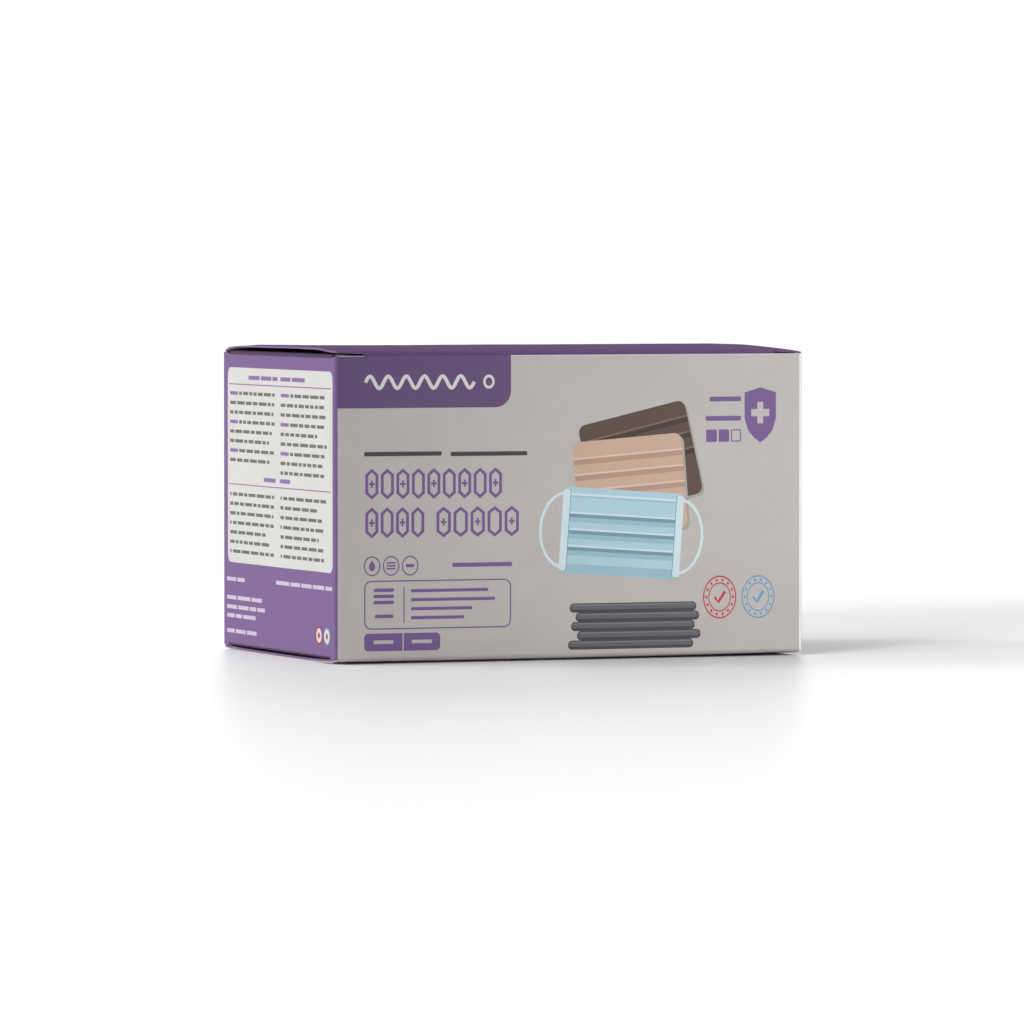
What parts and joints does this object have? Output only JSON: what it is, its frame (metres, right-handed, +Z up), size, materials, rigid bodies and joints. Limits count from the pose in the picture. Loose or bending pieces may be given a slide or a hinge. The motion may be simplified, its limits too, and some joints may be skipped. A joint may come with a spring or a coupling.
{
  "type": "folding carton for disposable face masks",
  "caption": "Closed rectangular paperboard carton with a hinged, slit-locked lid and base, tuck flaps and dust flaps, for a stack of disposable face masks.",
  "frame": {"origin": "on the surface it stands on, under the middle of the carton", "axes": "+Z up, +X along the width to the right as seen from the front, the front wall faces -Y"},
  "size_m": [0.157, 0.105, 0.0983],
  "materials": {
    "printed_board": "matte",
    "purple_board": "satin",
    "plain_board": "matte"
  },
  "bodies": {
    "sleeve": {"sleeve": "printed_board"},
    "lid": {"lid_panel": "purple_board"},
    "lid_tuck": {"lid_tuck_flap": "purple_board"},
    "top_dust_left": {"top_dust_flap_left": "plain_board"},
    "top_dust_right": {"top_dust_flap_right": "plain_board"},
    "base": {"base_panel": "purple_board"},
    "base_tuck": {"base_tuck_flap": "purple_board"},
    "base_dust_left": {"base_dust_flap_left": "plain_board"},
    "base_dust_right": {"base_dust_flap_right": "plain_board"}
  },
  "joints": [
    {"name": "lid_hinge", "type": "hinge", "parent": "sleeve", "child": "lid", "pos_m": [0, 0.0525, 0.0956], "axis": [-1, 0, 0], "range_deg": [0, 240]},
    {"name": "lid_tuck_fold", "type": "hinge", "parent": "lid", "child": "lid_tuck", "pos_m": [0, -0.0517, 0.0956], "axis": [-1, 0, 0], "range_deg": [0, 75]},
    {"name": "top_dust_left_fold", "type": "hinge", "parent": "sleeve", "child": "top_dust_left", "pos_m": [-0.0777, 0, 0.0951], "axis": [0, 1, 0], "range_deg": [0, 80]},
    {"name": "top_dust_right_fold", "type": "hinge", "parent": "sleeve", "child": "top_dust_right", "pos_m": [0.0777, 0, 0.0951], "axis": [0, -1, 0], "range_deg": [0, 80]},
    {"name": "base_hinge", "type": "hinge", "parent": "sleeve", "child": "base", "pos_m": [0, -0.0525, 0.0016], "axis": [-1, 0, 0], "range_deg": [0, 240]},
    {"name": "base_tuck_fold", "type": "hinge", "parent": "base", "child": "base_tuck", "pos_m": [0, 0.0517, 0.0016], "axis": [-1, 0, 0], "range_deg": [0, 75]},
    {"name": "base_dust_left_fold", "type": "hinge", "parent": "sleeve", "child": "base_dust_left", "pos_m": [-0.0777, 0, 0.0021], "axis": [0, -1, 0], "range_deg": [0, 80]},
    {"name": "base_dust_right_fold", "type": "hinge", "parent": "sleeve", "child": "base_dust_right", "pos_m": [0.0777, 0, 0.0021], "axis": [0, 1, 0], "range_deg": [0, 80]}
  ],
  "couplings": [
    {"joint": "lid_tuck_fold", "follows": "lid_hinge", "ratio": 0.3},
    {"joint": "base_tuck_fold", "follows": "base_hinge", "ratio": 0.3}
  ]
}
